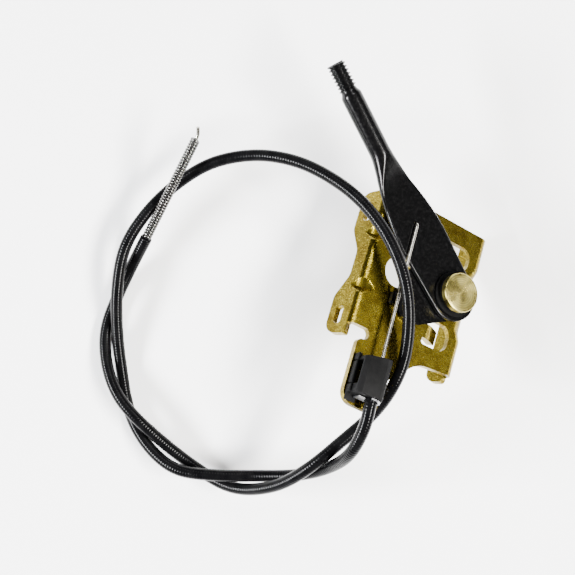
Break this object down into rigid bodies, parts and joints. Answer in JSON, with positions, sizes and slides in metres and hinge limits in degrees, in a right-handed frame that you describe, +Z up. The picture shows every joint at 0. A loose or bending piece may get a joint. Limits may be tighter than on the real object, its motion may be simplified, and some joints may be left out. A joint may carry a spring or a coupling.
{
  "type": "throttle control lever",
  "caption": "Hand throttle control: plated bracket, pivoting lever with a threaded rod end, wire link, clip and a free flexible cable.",
  "frame": {"origin": "middle of the footprint of the bracket and lever, at the height of the surface the part lies on; the free cable is not counted", "axes": "+Z up from the surface the part lies on; +Y the way the lever's rod roughly points at rest; +X to the right of that"},
  "size_m": [0.1336, 0.1455, 0.0518],
  "materials": {
    "gold_zinc": "yellow zinc plated pressed steel, speckled",
    "gold_stud": "yellow zinc plated turned steel, turning rings on the head",
    "black_fibre": "pressed black fibre, matte",
    "black_steel": "satin black coated sheet",
    "dark_spring": "blackened spring steel",
    "zinc": "dull zinc plated steel",
    "black_lever": "satin black oxide steel, finely mottled",
    "nylon": "natural nylon",
    "steel_wire": "bright drawn steel wire",
    "black_plastic": "matte moulded black plastic",
    "retainer_steel": "bright spring steel strip",
    "gloss_black": "glossy black skin over a close spiral",
    "coil_steel": "bright close wound steel wire"
  },
  "bodies": {
    "root": {"mounting_bracket": "gold_zinc", "pivot_stud": "gold_stud", "lower_friction_washer": "black_fibre", "stop_plate": "black_steel", "upper_friction_washer": "black_fibre", "wave_washer": "dark_spring", "head_spacer": "dark_spring", "backing_washer": "zinc", "clip_body": "black_plastic", "clip_latch": "black_plastic", "conduit_retainer": "retainer_steel", "conduit_jacket": "gloss_black", "conduit_floor_run": "gloss_black", "conduit_end_coil": "coil_steel"},
    "lever": {"control_lever": "black_lever", "lever_bushing": "nylon"},
    "wire": {"throttle_wire": "steel_wire"},
    "cable_end": {"wire_tip": "steel_wire"}
  },
  "joints": [
    {"name": "lever_pivot", "type": "hinge", "parent": "root", "child": "lever", "pos_m": [0.01289, -0.01987, 0.02031], "axis": [0.502, 0.16, 0.85], "range_deg": [0, 74], "deforming": ["throttle_wire", "conduit_jacket"]},
    {"name": "wire_swivel", "type": "hinge", "parent": "lever", "child": "wire", "pos_m": [0.00196, 0.00412, 0.02619], "axis": [0.502, 0.16, 0.85], "range_deg": [-74, 0]},
    {"name": "cable_end_slide", "type": "slide", "parent": "root", "child": "cable_end", "axis": [0.4457, 0.8107, 0.3796], "range_m": [0, 0.0323]}
  ],
  "couplings": [
    {"joint": "wire_swivel", "follows": "lever_pivot", "ratio": -1},
    {"joint": "cable_end_slide", "follows": "lever_pivot", "m_per_rad": 0.025006}
  ]
}
